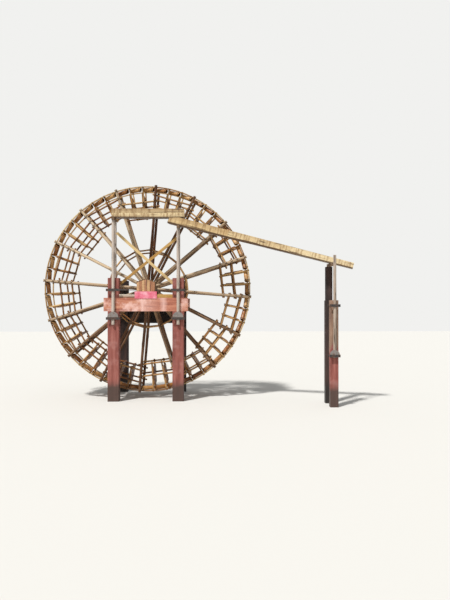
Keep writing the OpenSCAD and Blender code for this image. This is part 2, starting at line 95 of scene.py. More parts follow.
# Inputs come in their order or by name. Any other name is a setting, and stops are those of a colour ramp.
def addNode(tree, kind, *inputs, stops=(), **named):
    node = tree.nodes.new("ShaderNode" + kind)
    values = dict(enumerate(inputs))
    for name, value in {**usual.get(kind, {}), **named}.items():
        name = mixSockets.get(name, name)
        if isinstance(name, int) or name in node.inputs:
            values[name] = value
        else:
            setattr(node, name, value)
    setInputs(node, values)
    if stops:
        stops, ramp = list(stops), node.color_ramp.elements
        while len(ramp) < len(stops):
            ramp.new(0.5)
        for element, (place, colour) in zip(ramp, stops):
            element.position = place
            element.color = toLinear(colour) if isinstance(colour, str) else [colour] * 3 + [1]
    return node


def startMaterial(name, **settings):
    material = bpy.data.materials.new(name)
    material.use_nodes = True
    material.node_tree.nodes.clear()
    add = partial(addNode, material.node_tree)
    shader = add("BsdfPrincipled", **settings)
    add("OutputMaterial", Surface=shader)
    return material, add, shader


# Wood in all its finishes: split, peeled or sawn along the grain, then left out in sun and wet.
# grainWidth is the width of one streak in millimetres, and real fibres are finer than the render shows.
# streaks runs from dark to pale, wear is how much bleached surface shows, checks how dark the cracks are.
# tints runs from the colour that multiplies the first pieces to that of the last, so that no two match.
# drips is how dark the stains are that run down a board, how wide in millimetres, and their colour.
# axis is for a solid that the frame brings in: the way its grain runs.
woodDefaults = dict(relief=0.6, checks=0.8, wear=0.6, tints=("#ffffff", "#ffffff"), wetTint="#ffffff",
                    drips=None, axis=None)


def woodMaterial(name, look):
    look = {**woodDefaults, **look}
    material, add, shader = startMaterial(name, IOR=1.45, Roughness=look["roughness"])
    if look["axis"]:
        turn = {"x": (0, pi / 2, 0), "y": (pi / 2, 0, 0)}[look["axis"]]
        place = add("Mapping", add("TexCoord").outputs["Object"], Rotation=turn)
        tint = add("ObjectInfo").outputs["Random"]
    else:  # a piece made here carries its own grain, tint, wetness and marks
        carried = {"grain": "Vector", "tint": "Fac", "wet": "Fac", "mark": "Fac"}
        place, tint, wet, mark = (add("Attribute", attribute_name=key).outputs[result]
                                  for key, result in carried.items())
    across = 1000 / look["grainWidth"]
    streaky = add("Mapping", place, Scale=(across, across, across / look["stretch"]))
    streaks = add("TexNoise", streaky, Scale=1.0, Detail=5.0, Roughness=0.62)
    patches = add("TexNoise", place, Scale=look["patch"], Detail=3.0, Roughness=0.55)
    worn = add("Math", add("Math", tint, 0.75, -0.16), 1.1, patches, use_clamp=True)
    worn = add("ValToRGB", worn, stops=[(0.42, 0.0), (0.72, 1.0)])
    worn = add("Math", worn, look["wear"], operation="MULTIPLY")
    kin = add("ValToRGB", tint, stops=zip((0.0, 1.0), look["tints"]))
    layers = [(worn, look["bleached"], "MIX"), (1.0, kin, "MULTIPLY")]
    if look["drips"]:
        share, width, stain = look["drips"]
        down = add("Mapping", place, Scale=(2.2, 2.2, 1000 / width))
        down = add("TexNoise", down, Scale=1.0, Detail=3.0, Roughness=0.6)
        layers.append((add("ValToRGB", down, stops=[(0.47, 0.0), (0.62, share)]), stain, "MIX"))
    split = add("Mapping", place, Scale=(across * 0.45, across * 0.45, across * 0.016))
    split = add("TexNoise", split, Scale=1.0, Detail=2.0, Distortion=0.6)
    cracks = add("ValToRGB", split, stops=[(0.355, 1.0), (0.41, 0.0)])
    cracks = add("Math", cracks, look["checks"], operation="MULTIPLY")
    layers.append((cracks, look["crack"], "MIX"))
    if not look["axis"]:
        soaked = add("Math", wet, 0.9, operation="MULTIPLY", use_clamp=True)
        # the mark darkens to the crack colour: dark joint rings, and painted shade inside the scoops, along the foot
        # of the trough and flume boards and on their floors
        layers += [(soaked, look["wetTint"], "MULTIPLY"), (mark, look["crack"], "MIX")]
        setInputs(shader, {"Roughness": add("Math", soaked, -0.28, look["roughness"])})
    colour = add("ValToRGB", streaks, stops=zip((0.30, 0.5, 0.70), look["streaks"]))
    for share, over, blend in layers:
        colour = add("Mix", share=share, under=colour, over=over, blend_type=blend)
    bump = add("Bump", Strength=look["relief"], Distance=look["grainWidth"] / 4000,
               Height=add("Math", cracks, -0.6, streaks))
    setInputs(shader, {"Base Color": colour, "Normal": bump})
    return material


woodLooks = {
    # peeled fir poles, dried by the sun from brown to cream: fine long checks
    "peeledPole": dict(grainWidth=14, stretch=26, patch=1.3, roughness=0.78, checks=0.85, wear=0.7,
                       streaks=("#7c5e40", "#b39068", "#d2b28e"), bleached="#e6d6bd", crack="#38251a",
                       tints=("#7b5b39", "#fffaf0"), wetTint="#c09a6c"),
    # thinner peeled poles that are never dry for long: golden brown and streaked
    "soakedPole": dict(grainWidth=12, stretch=24, patch=1.6, roughness=0.7, wear=0.45,
                       streaks=("#6d4c28", "#a98149", "#cfa870"), bleached="#dec497", crack="#2f1b0f",
                       tints=("#c4a583", "#fff2dc"), wetTint="#cdb085"),
    # light split sticks with the bark off
    "stick": dict(grainWidth=10, stretch=20, patch=2.0, roughness=0.75, relief=0.5, checks=0.7,
                  streaks=("#72502b", "#b08a50", "#d4b07a"), bleached="#e3cea2", crack="#38230f",
                  tints=("#c8aa84", "#fff3e0"), wetTint="#cdb085"),
    # split bamboo bent into a hoop: smooth, straw coloured, faint long fibres
    "splitBamboo": dict(grainWidth=6, stretch=40, patch=1.2, roughness=0.5, relief=0.3, checks=0.5,
                        streaks=("#8f6c3a", "#b8955a", "#d6b97c"), bleached="#e0ca98", crack="#4a3318",
                        tints=("#c2a276", "#ffffff"), wetTint="#b58a52"),
    # bamboo culm, waxy skin gone tan, with painted shade inside in its dark crack colour
    "bambooCulm": dict(grainWidth=7, stretch=34, patch=3.0, roughness=0.46, relief=0.25, checks=0.6, wear=0.5,
                       streaks=("#855e32", "#b88a4e", "#d2ab70"), bleached="#dfc494", crack="#22140c",
                       tints=("#cbaa80", "#fff2dc"), wetTint="#c9a377"),
    # sawn paddle boards, soaked at every turn: orange-brown with dark checks
    "paddleBoard": dict(grainWidth=16, stretch=18, patch=1.8, roughness=0.68, checks=0.9, wear=0.35,
                        streaks=("#694926", "#a67943", "#c69b5d"), bleached="#d4b481", crack="#281609",
                        tints=("#c6a47c", "#fff0dc"), wetTint="#c9a67a"),
    # sawn boards of the trough and flume: straw, stained in runs down the face, with painted shade along the foot
    "troughBoard": dict(grainWidth=18, stretch=16, patch=2.2, roughness=0.72, checks=0.85, wear=0.5,
                        streaks=("#a98a5e", "#d0b180", "#e6cf9e"), bleached="#efe0b8", crack="#4c331a",
                        tints=("#f0e2c6", "#ffffff"), wetTint="#8f6a42", drips=(0.75, 75, "#9b7a50")),
    # newer yellow-tan brace boards
    "braceBoard": dict(grainWidth=15, stretch=20, patch=1.5, roughness=0.7, relief=0.5, checks=0.6, wear=0.5,
                       streaks=("#9a7840", "#c19b5c", "#d8b87a"), bleached="#e3cc9c", crack="#553a1d",
                       tints=("#e6d3ac", "#ffffff")),
    # cover slats, sawn and unevenly stained, from pink-brown to straw
    "coverSlat": dict(grainWidth=12, stretch=20, patch=2.5, roughness=0.75, wear=0.35,
                      streaks=("#966d54", "#c39c7a", "#d8b794"), bleached="#e4ccae", crack="#4a2c1e",
                      tints=("#d9b3a6", "#fff3d8"), drips=(0.35, 30, "#7a5038")),
    # grey weathered poles that hold the trough up
    "greyPole": dict(grainWidth=13, stretch=26, patch=1.4, roughness=0.82, checks=0.85,
                     streaks=("#6d5c4e", "#9c8a7a", "#bcaa9b"), bleached="#cfc2b6", crack="#2b2119",
                     tints=("#dbd1c4", "#ffffff")),
    # rough bearers, grey-brown, with dark runs
    "roughTimber": dict(grainWidth=18, stretch=16, patch=2.0, roughness=0.8, relief=0.7, wear=0.4,
                        streaks=("#4f3b29", "#7e6249", "#a08463"), bleached="#b2997a", crack="#2d2015",
                        tints=("#a8937c", "#ffffff"), drips=(0.5, 50, "#4a3825")),
    # black-brown timber low behind the wheel, most of its darkness painted shade
    "shadedLowTimber": dict(grainWidth=20, stretch=16, patch=1.6, roughness=0.7, relief=0.7, wear=0.2,
                       streaks=("#1a1310", "#281e19", "#3a2c26"), bleached="#50413a", crack="#0e0a08",
                       tints=("#c0b0a4", "#ffffff"), drips=(0.4, 60, "#191210")),
    # turned axle, grain along the shaft
    "axleTimber": dict(grainWidth=20, stretch=16, patch=2.0, roughness=0.75, checks=0.9, wear=0.35, axis="y",
                       streaks=("#3f2d1e", "#6c5138", "#8b6d4c"), bleached="#9b8263", crack="#20150d"),
}
# rough timber again on the frame's own solids: blocks that the axle turns in, bearers across the flume
for wood, axis in (("bearingTimber", "x"), ("bearerTimber", "y")):
    woodLooks[wood] = dict(woodLooks["roughTimber"], axis=axis, drips=None)
# sleepers that the sun has bleached nearly white, brown at the foot
woodLooks["bleachedSleeper"] = dict(woodLooks["greyPole"], streaks=("#97876f", "#c4b6a2", "#d9cdbb"),
                                    bleached="#e6dccd", wetTint="#b08a78")
woods = {name: woodMaterial(name, look) for name, look in woodLooks.items()}


# Cast concrete posts under red-brown paint: the paint chalks to pink, streaks down with rust and rain,
# and wears off in hand-sized scabs. Near the foot it is dark and silty.
paintLooks = {
    "chalkedPostPaint": dict(streakScale=(7, 7, 0.9), paint=("#713b33", "#8d4f45", "#a1655a"), chalking=0.55,
                             chalk="#b3827a", scabs=0.45, bare="#857268", silt="#40322a"),
    # rear posts: dark paint, partly dirt and wet, partly painted shade
    "grimyShadedRearPaint": dict(streakScale=(7, 7, 0.9), paint=("#221815", "#33241f", "#46312a"), chalking=0.3,
                           chalk="#57413a", scabs=0.4, bare="#40352e", silt="#1d1713"),
    # the beam also has pale runs: how far along from the hub, how wide and how strong
    "streakedBeamPaint": dict(streakScale=(0.8, 7, 9), paint=("#8a4c3c", "#b57159", "#cc9073"), chalking=0.95,
                              chalk="#e8beb2", scabs=0.6, bare="#a68f7c", silt="#4b3d2e",
                              paleRuns=((-0.12, 0.10, 0.9), (0.62, 0.15, 0.7), (0.05, 0.5, 0.35))),
}
paintLooks["peeledFarPaint"] = dict(paintLooks["chalkedPostPaint"], peeledAbove=1.95,
                                    peeled=("#6f5646", "#967963", "#b0947d"))
concreteGrit = 9  # width of a grain of sand under the paint, in millimetres, coarse enough to show


def paintedConcrete(name, look):
    material, add, shader = startMaterial(name, IOR=1.5, Roughness=0.8)
    place = add("TexCoord").outputs["Object"]
    rise = add("SeparateXYZ", place).outputs
    runs = add("Mapping", place, Scale=look["streakScale"])
    runs = add("TexNoise", runs, Scale=1.0, Detail=5.0, Roughness=0.6)
    clouds = add("TexNoise", place, Scale=1.7, Detail=6.0, Roughness=0.65)
    grit = add("TexNoise", place, Scale=1000 / concreteGrit, Detail=3.0)
    layers = [(add("ValToRGB", clouds, stops=[(0.52, 0.0), (0.68, look["chalking"])]), look["chalk"])]
    for along, width, share in look.get("paleRuns", ()):  # where rain off the sign has washed the paint pale
        away = add("Math", clouds, 0.3, rise["X"])
        away = add("Math", away, hubCentre.x + along + 0.15, operation="SUBTRACT")
        away = add("Math", away, operation="ABSOLUTE")
        layers.append((add("ValToRGB", away, stops=[(0.0, share), (width, 0.0)]), look["chalk"]))
    scabs = add("TexVoronoi", place, Scale=5.5, Detail=3.0, Roughness=0.7, Randomness=1.0)
    scabs = add("ValToRGB", scabs, stops=[(0.10, look["scabs"]), (0.16, 0.0)])
    layers.append((scabs, look["bare"]))
    if "peeledAbove" in look:
        above = add("Math", runs, 1.6, rise["Z"])
        above = add("Math", above, look["peeledAbove"] + 0.8, operation="SUBTRACT")
        bareFace = add("ValToRGB", runs, stops=zip((0.34, 0.52, 0.66), look["peeled"]))
        layers.append((add("ValToRGB", above, stops=[(0.0, 0.0), (0.12, 0.9)]), bareFace))
    wobble = add("Math", clouds, -0.45, rise["Z"])
    silty = add("ValToRGB", wobble, stops=[(0.30, 0.92), (0.44, 0.35), (0.62, 0.0)])
    layers.append((silty, look["silt"]))
    colour = add("ValToRGB", runs, stops=zip((0.32, 0.5, 0.66), look["paint"]))
    for share, over in layers:
        colour = add("Mix", share=share, under=colour, over=over)
    bump = add("Bump", Strength=0.55, Distance=0.006, Height=add("Math", scabs, -0.8, grit))
    setInputs(shader, {"Base Color": colour, "Roughness": add("Math", silty, -0.3, 0.84), "Normal": bump})
    return material


paints = {name: paintedConcrete(name, look) for name, look in paintLooks.items()}


# Mild steel plates and bolts, dark paint lifting over rust: dull, with rust in the hollows.
# Each has the width of a bloom of rust in millimetres, then the colours of paint, worn paint and rust.
ironLooks = {
    "rustedClampIron": (60, ("#2f2d2e", "#453f3c", "#63412f")),
    "greyShoeIron": (90, ("#77706c", "#8d8580", "#6c5546")),
    "tyingWire": (25, ("#3a2f28", "#52402f", "#6b452c")),
}


def rustedIron(name, bloomWidth, colours):
    material, add, shader = startMaterial(name, Metallic=0.35, Roughness=0.62)
    place = add("TexCoord").outputs["Object"]
    blooms = add("TexNoise", place, Scale=1000 / bloomWidth, Detail=7.0, Roughness=0.7)
    colour = add("ValToRGB", blooms, stops=zip((0.38, 0.52, 0.62), colours))
    bump = add("Bump", Strength=0.5, Distance=0.002, Height=blooms)
    setInputs(shader, {"Base Color": colour, "Roughness": add("Math", blooms, 0.45, 0.4), "Normal": bump})
    return material


irons = {name: rustedIron(name, *look) for name, look in ironLooks.items()}


# Sheet steel under faded pink-red paint, left bare of any words: semi-gloss, bleached and chipped at the edge.

def fadedSignPaint():
    material, add, shader = startMaterial("fadedSignPaint", IOR=1.5, Roughness=0.42)
    place = add("TexCoord").outputs["Object"]
    fading = add("TexNoise", place, Scale=4.0, Detail=4.0, Roughness=0.6)
    colour = add("ValToRGB", fading, stops=[(0.36, "#cf586e"), (0.5, "#dd7487"), (0.66, "#eaa6b0")])
    chips = add("TexNoise", place, Scale=42.0, Detail=4.0, Roughness=0.75)
    chips = add("ValToRGB", chips, stops=[(0.66, 0.0), (0.70, 0.8)])
    setInputs(shader, {"Base Color": add("Mix", share=chips, under=colour, over="#8d6a5d")})
    return material


signPaint = fadedSignPaint()
print("materials made")


# A shape gathers points, each with its place, grain, wetness, mark and tint, and is then made into one object

def newShape():
    return {"points": [], "faces": []}


# Rings of points become a skin, shut at both ends or joined into a loop
def addSkin(shape, rings, tint=0.5, loop=False):
    starts = []
    for ring in rings:
        starts.append(len(shape["points"]))
        shape["points"] += [(*point, tint) for point in ring]
    count = len(rings[0])
    for one, two in zip(starts, starts[1:] + (starts[:1] if loop else [])):
        for k in range(count):
            n = (k + 1) % count
            shape["faces"].append((one + k, one + n, two + n, two + k))
    if not loop:
        shape["faces"].append(tuple(reversed(range(starts[0], starts[0] + count))))
        shape["faces"].append(tuple(range(starts[-1], starts[-1] + count)))


# Edges that turn by more degrees than this stay sharp
sharpEdge = 40


# Nails and wire unless a material is given. nodes are the frame's own that the piece stands in for.
def makeObject(name, shape, body, material=irons["tyingWire"], nodes=()):
    mesh = bpy.data.meshes.new(name)
    places, grains, *values = zip(*shape["points"])
    mesh.from_pydata(places, [], shape["faces"])
    grain = mesh.attributes.new("grain", "FLOAT_VECTOR", "POINT")
    grain.data.foreach_set("vector", [part for parts in grains for part in parts])
    for key, value in zip(("wet", "mark", "tint"), values):
        mesh.attributes.new(key, "FLOAT", "POINT").data.foreach_set("value", value)
    mesh.shade_smooth()
    mesh.set_sharp_from_angle(angle=radians(sharpEdge))
    mesh.materials.append(material)
    thing = bpy.data.objects.new(name, mesh)
    bpy.context.scene.collection.objects.link(thing)
    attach(thing, body)
    if nodes:
        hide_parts(*nodes)


def sideAxes(direction):
    helper = Vector((0, 1, 0)) if abs(direction.y) < 0.9 else Vector((1, 0, 0))
    u = direction.cross(helper).normalized()
    return u, direction.cross(u).normalized()


# Angles round a circle, each with its direction between the axes u and v
def roundCircle(count, u, v, turn=0.0):
    for k in range(count):
        a = 2 * pi * (k + turn) / count
        yield a, u * cos(a) + v * sin(a)


# A random place in the grain, so that no two pieces share a pattern
def grainShift(rng):
    return Vector([rng.uniform(-20, 20) for _ in range(3)])


# How soaked a piece of the rim is: most at the lowest point of its turn
def soaking(angle, low, high):
    down = (1 - sin(radians(angle))) / 2
    return low + (high - low) * down ** 1.6


# A natural pole: slightly bent, lumpy at its knots, with rounded sawn ends
poleShape = dict(roundedEnd=0.006, endShare=0.93, knotHeight=0.16, knotLength=0.035, shoulder=0.004,
                 lumpsRound=0.8, lumpsAlong=2.2)


def addPole(shape, start, end, width, look, seed, angle=0.0, neck=None, tint=None):
    rng = random.Random(seed)
    axis = end - start
    length = axis.length
    axis.normalize()
    u, v = sideAxes(axis)
    wet = soaking(angle, *look["soaked"])
    shift = grainShift(rng)
    turn = rng.uniform(0, 2 * pi)
    bend = (u * cos(turn) + v * sin(turn)) * look["bend"] * rng.uniform(0.3, 1)
    wave = (u * sin(turn) - v * cos(turn)) * look["bend"] * rng.uniform(-0.4, 0.4)
    tint = rng.random() if tint is None else tint
    knots = [rng.uniform(0.08, 0.92) * length for _ in range(int(length * look["knots"]))]
    steps = max(4, int(length / look["step"]))
    ease, high, long = (poleShape[key] for key in ("roundedEnd", "knotHeight", "knotLength"))
    lumpsRound, lumpsAlong = poleShape["lumpsRound"], poleShape["lumpsAlong"]
    stations = [0.0, ease] + [length * i / steps for i in range(1, steps)] + [length - ease, length]
    if neck:  # a thinner tenon at the start: its length and radius
        stations = sorted(set(stations + [neck[0], neck[0] + poleShape["shoulder"]]))
    rings = []
    for s in stations:
        t = s / length
        centre = start + axis * s + bend * sin(pi * t) + wave * sin(2 * pi * t)
        radius = width * (look["butt"] + (look["taper"] - look["butt"]) * t) / 2
        if neck and s <= neck[0]:
            radius = neck[1]
        if s in (0.0, length):
            radius *= poleShape["endShare"]
        ring = []
        for a, out in roundCircle(look["sides"], u, v):
            lump = Vector((cos(a) * lumpsRound, sin(a) * lumpsRound, s * lumpsAlong))
            lump = noise.noise(shift + lump) * look["lump"]
            for knot in knots:
                facing = cos(a - knot * 37)  # each knot faces its own way
                if facing > 0:
                    lump += high * facing ** 3 * exp(-((s - knot) / long) ** 2)
            r = radius * (1 + lump)
            ring.append((centre + out * r, (cos(a) * r + shift.x, sin(a) * r + shift.y, s + shift.z), wet, 0.0))
        rings.append(ring)
    addSkin(shape, rings, tint)


# A sawn board with eased edges: long runs along its length, high and thick are its other two sides.
# A mark along its lower edge, painted shade with some water stain, is full up to one share of its height and gone at
# the next.
boardShape = dict(step=0.18, footFull=0.18, footGone=0.25)


# stain darkens the whole board; on the floors of the trough and flume it is painted shade
def addBoard(shape, corner, long, high, thick, seed, wet=0.0, footWet=0.0, stain=0.0, footShadeStain=0.0, tint=None,
             wander=0.0015, ease=0.004, farHeight=None, ceiling=None):
    rng = random.Random(seed)
    length, height, depth = long.length, high.length, thick.length
    ex, ey, ez = long.normalized(), high.normalized(), thick.normalized()
    shift = grainShift(rng)
    tint = rng.random() if tint is None else tint
    steps = max(2, int(length / boardShape["step"]))
    e = min(ease, depth / 3)
    rings = []
    for i in range(steps + 1):
        t = i / steps
        s = length * t
        h = height + ((farHeight or height) - height) * t
        foot, fade = h * boardShape["footFull"], h * boardShape["footGone"]
        outline = [(e, 0), (foot, 0), (fade, 0), (h - e, 0), (h, e), (h, depth - e),
                   (h - e, depth), (fade, depth), (foot, depth), (e, depth), (0, depth - e), (0, e)]
        cupped = noise.noise(shift + Vector((s * 1.3, 0, 0))) * wander
        risen = noise.noise(shift + Vector((0, s * 1.1, 5))) * wander
        ring = []
        for y, z in outline:
            edge = noise.noise(shift + Vector((s * 3.0, y * 9, z * 9))) * wander * 0.8
            point = corner + ex * s + ey * (y + risen + (edge if y > h / 2 else -edge)) + ez * (z + cupped)
            if ceiling:
                point.z = min(point.z, ceiling)
            ring.append((point, (y + shift.x, z + shift.y, s + shift.z), wet + footWet * (1 - y / h),
                         stain + (footShadeStain if y < fade else 0.0)))
        rings.append(ring)
    addSkin(shape, rings, tint)


# The same for a board that lies square: its box, and the axes of its length, height and thickness
def addSquareBoard(shape, corner, size, axes, seed, **more):
    sides = [Vector([size[k] if axis == "xyz"[k] else 0 for k in range(3)]) for axis in axes]
    addBoard(shape, Vector(corner), *sides, seed, **more)


# A plank cut to an outline in the XZ plane, with eased edges and its grain upright or lying
def addPlank(shape, outline, near, far, seed, ease=0.003, lying=False):
    rng = random.Random(seed)
    tint = rng.random()
    shift = grainShift(rng)
    middleX, middleZ = (sum(values) / len(outline) for values in zip(*outline))
    rings = []
    for y, inset in ((near, ease), (near + ease, 0.0), (far - ease, 0.0), (far, ease)):
        ring = []
        for x, z in outline:
            point = Vector((x - copysign(inset, x - middleX), y, z - copysign(inset, z - middleZ)))
            ring.append((point, shift + (point.zyx if lying else point), 0.0, 0.0))
        rings.append(ring)
    addSkin(shape, rings, tint)


# The head of a nail: a low domed disc on a face
nailProfile = ((1.0, 0.0), (1.0, 0.55), (0.6, 1.0))  # shares of its radius and of its height


def addNail(shape, centre, outward, radius, height, sides=8):
    rings = []
    for share, rise in nailProfile:
        points = [centre + out * radius * share + outward * height * rise
                  for _, out in roundCircle(sides, *sideAxes(outward), 0.5)]
        rings.append([(point, point, 0.0, 0.0) for point in points])
    addSkin(shape, rings)


# Wire tied round two poles that lie on each other
lashSettings = dict(wire=0.0035, thinTip=0.93, turns=2, pitch=2.1, points=18, sides=5, corners=20,
                    tieTurns=3, tiePoints=26)


def addLoop(shape, points, normal):
    rings = []
    for i, point in enumerate(points):
        ahead = (points[(i + 1) % len(points)] - points[i - 1]).normalized()
        sides = roundCircle(lashSettings["sides"], ahead.cross(normal).normalized(), normal)
        places = [point + out * lashSettings["wire"] for _, out in sides]
        rings.append([(place, place, 0.0, 0.0) for place in places])
    addSkin(shape, rings, loop=True)


# The outline round points in a plane
def hullOf(points):
    points = sorted(set(points))
    halves = []
    for run in (points, points[::-1]):
        half = []
        for p in run:
            while len(half) > 1:
                (ax, ay), (bx, by) = half[-2], half[-1]
                if (bx - ax) * (p[1] - ay) - (by - ay) * (p[0] - ax) > 0:
                    break
                half.pop()
            half.append(p)
        halves += half[:-1]
    return halves


# Turns of wire round two poles, each with a point on its axis, its direction, half its width and half its depth
def addWraps(shape, one, two, along, turns, pointCount):
    wire = lashSettings["wire"]
    stack = two[0] - one[0]
    distance = stack.length
    stack.normalize()
    along = (along - stack * along.dot(stack)).normalized()
    normal = stack.cross(along).normalized()
    for turn in range(turns):
        offset = (turn - (turns - 1) / 2) * wire * lashSettings["pitch"]
        corners = []
        for (centre, direction, halfWidth, halfDepth), height in ((one, 0.0), (two, distance)):
            slant = direction.dot(normal)
            middle = offset * direction.dot(along) / slant
            for k in range(lashSettings["corners"]):
                a = 2 * pi * k / lashSettings["corners"]
                corners.append((middle + cos(a) * (halfWidth / abs(slant) + wire),
                                height + sin(a) * (halfDepth + wire)))
        outline = hullOf(corners)
        edges = list(zip(outline, outline[1:] + outline[:1]))
        lengths = [dist(a, b) for a, b in edges]
        path = []
        i, done = 0, 0.0
        for k in range(pointCount):
            target = sum(lengths) * k / pointCount
            while done + lengths[i] < target:
                done += lengths[i]
                i += 1
            t = (target - done) / lengths[i]
            (ax, ay), (bx, by) = edges[i]
            path.append(one[0] + along * (ax + (bx - ax) * t) + stack * (ay + (by - ay) * t) + normal * offset)
        addLoop(shape, path, normal)


# The wheel's own plan, in metres and degrees, to match the solids that it dresses
wheelPlan = dict(spokes=16, firstSpoke=-4.5, hoopThickness=0.045, drops=(0.510, 0.950), bayStep=0.220,
                 railPast=0.140, hubRadius=0.330, socket=0.060, tenon=0.080, stickPast=0.030,
                 ringRadius=1.430, ringWidth=0.060, fit=0.0003)
wheelSides = {"front": -1, "rear": 1}
bay = 360 / wheelPlan["spokes"]
station = bay / 3
bayHalf = radians(bay / 2)


def acrossNode(name):
    low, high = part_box(name)
    return (low.y + high.y) / 2 - hubCentre.y, high.y - low.y


spokeY, spokeWidth = acrossNode("rear_spokes")
railY, railWidth = acrossNode("rear_rails")
stickY, stickWidth = acrossNode("rear_sticks")
ringY = spokeY - spokeWidth / 2 - wheelPlan["fit"] - wheelPlan["ringWidth"] / 2
hoopLow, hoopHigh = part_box("rear_hoop")
hoopOuter = (hoopHigh.z - hoopLow.z) / 2
hoopRadius = hoopOuter - wheelPlan["hoopThickness"] / 2
spokesLow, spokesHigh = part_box("rear_spokes")
spokeTip = max(spokesHigh.z - hubCentre.z, (spokesHigh.x - spokesLow.x) / 2)


def outward(angle):
    return Vector((cos(radians(angle)), 0, sin(radians(angle))))


def roundward(angle):
    return Vector((-sin(radians(angle)), 0, cos(radians(angle))))


def onWheel(angle, radius, across=0.0):
    return hubCentre + outward(angle) * radius + acrossWheel * across


def railRadius(drop, i):
    return hoopRadius - drop + wheelPlan["bayStep"] * (i % 2)


# Each bay's number, the angle of its spoke, and that of its middle
def eachBay():
    for i in range(wheelPlan["spokes"]):
        angle = wheelPlan["firstSpoke"] + bay * i
        yield i, angle, angle + bay / 2


# Each stick's bay, its number in the bay, its angle, and that of the bay's middle
def eachStick():
    for i, angle, middle in eachBay():
        for j in (1, 2):
            yield i, j, angle + station * j, middle


# Spokes, with a tint for each from 0, dark, to 1, cream: their own tones, with painted light on the cream upper-left
# ones and painted shade on the dark ones under the trough
spokeSettings = dict(bend=0.016, lump=0.10, sides=14, step=0.11, knots=1.6, soaked=(0.0, 0.45),
                     butt=1.02, taper=0.90, shortBy=0.002, rearShade=0.6,
                     tints=(0.6, 0.6, 0.45, 0.15, 0.0, 0.7, 0.85, 0.9,
                            0.65, 0.55, 0.3, 0.15, 0.15, 0.45, 0.25, 0.3))


def makeSpokes(end, side):
    shape = newShape()
    neck = (wheelPlan["socket"], wheelPlan["tenon"] / 2)
    foot = wheelPlan["hubRadius"] - wheelPlan["socket"] + wheelPlan["fit"]
    top = spokeTip - spokeSettings["shortBy"]
    for i, angle, _ in eachBay():
        start, tip = (onWheel(angle, radius, side * spokeY) for radius in (foot, top))
        # the rear spokes take a darker tint: painted shade
        tint = spokeSettings["tints"][i] * (1.0 if side < 0 else spokeSettings["rearShade"])
        addPole(shape, start, tip, spokeWidth, spokeSettings, 100 + i + 50 * side, angle, neck, tint)
    makeObject(end + "_spoke_poles", shape, "wheel", woods["peeledPole"], [end + "_spokes"])


# Straight rails from spoke to spoke, and sticks from the rails out to the hoop
railSettings = dict(bend=0.006, lump=0.12, sides=10, step=0.12, knots=2.0, soaked=(0.05, 0.5),
                    butt=1.0, taper=0.93, shortest=0.93)
stickSettings = dict(bend=0.010, lump=0.14, sides=10, step=0.10, knots=2.0, soaked=(0.0, 0.5),
                     butt=1.0, taper=0.92, uneven=0.02)
ringSettings = dict(stickSettings, soaked=(0.1, 0.1), taper=0.96, joint=0.003)


def makeRails(end, side):
    shape = newShape()
    rng = random.Random(7 + side)
    for i, _, middle in eachBay():
        for drop in wheelPlan["drops"]:
            radius = railRadius(drop, i)
            centre = onWheel(middle, radius * cos(bayHalf), side * railY)
            reach = roundward(middle) * (radius * sin(bayHalf) + wheelPlan["railPast"])
            start = centre - reach * rng.uniform(railSettings["shortest"], 1.0)
            finish = centre + reach * rng.uniform(railSettings["shortest"], 1.0)
            seed = 300 + i * 4 + int(drop * 10) + 90 * side
            addPole(shape, start, finish, railWidth, railSettings, seed, middle)
    makeObject(end + "_rail_poles", shape, "wheel", woods["soakedPole"], [end + "_rails"])


def makeSticks(end, side):
    shape = newShape()
    rng = random.Random(17 + side)
    uneven, past = stickSettings["uneven"], wheelPlan["stickPast"]
    for i, j, angle, _ in eachStick():
        inner = railRadius(wheelPlan["drops"][1], i) * cos(bayHalf) - railWidth / 2 - past
        start = onWheel(angle, inner + rng.uniform(0, uneven), side * stickY)
        tip = onWheel(angle, hoopOuter + past - rng.uniform(0, uneven), side * stickY)
        addPole(shape, start, tip, stickWidth, stickSettings, 600 + i * 2 + j + 70 * side, angle)
    makeObject(end + "_rim_sticks", shape, "wheel", woods["stick"], [end + "_sticks"])


# A ring of short ties round the hub
def makeHubRings():
    shape = newShape()
    radius, width = wheelPlan["ringRadius"], wheelPlan["ringWidth"]
    half = (2 * radius * sin(bayHalf) - width * tan(bayHalf) - ringSettings["joint"]) / 2
    for side in wheelSides.values():
        for i, _, middle in eachBay():
            centre = onWheel(middle, radius * cos(bayHalf), side * ringY)
            reach = roundward(middle) * half
            addPole(shape, centre - reach, centre + reach, width, ringSettings, 800 + i + 40 * side)
    makeObject("hub_ring_ties", shape, "wheel", woods["soakedPole"], ["hub_rings"])


for make in (makeSpokes, makeRails, makeSticks):
    for end, side in wheelSides.items():
        make(end, side)
makeHubRings()
print("spokes, rails and sticks made")

# Hoop: three split laths side by side, each a little in or out of true
hoopSettings = dict(laths=3, gap=0.0015, joint=0.0012, inset=0.003, wander=0.004, stepsInBay=12,
                    soaked=(0.0, 0.4))


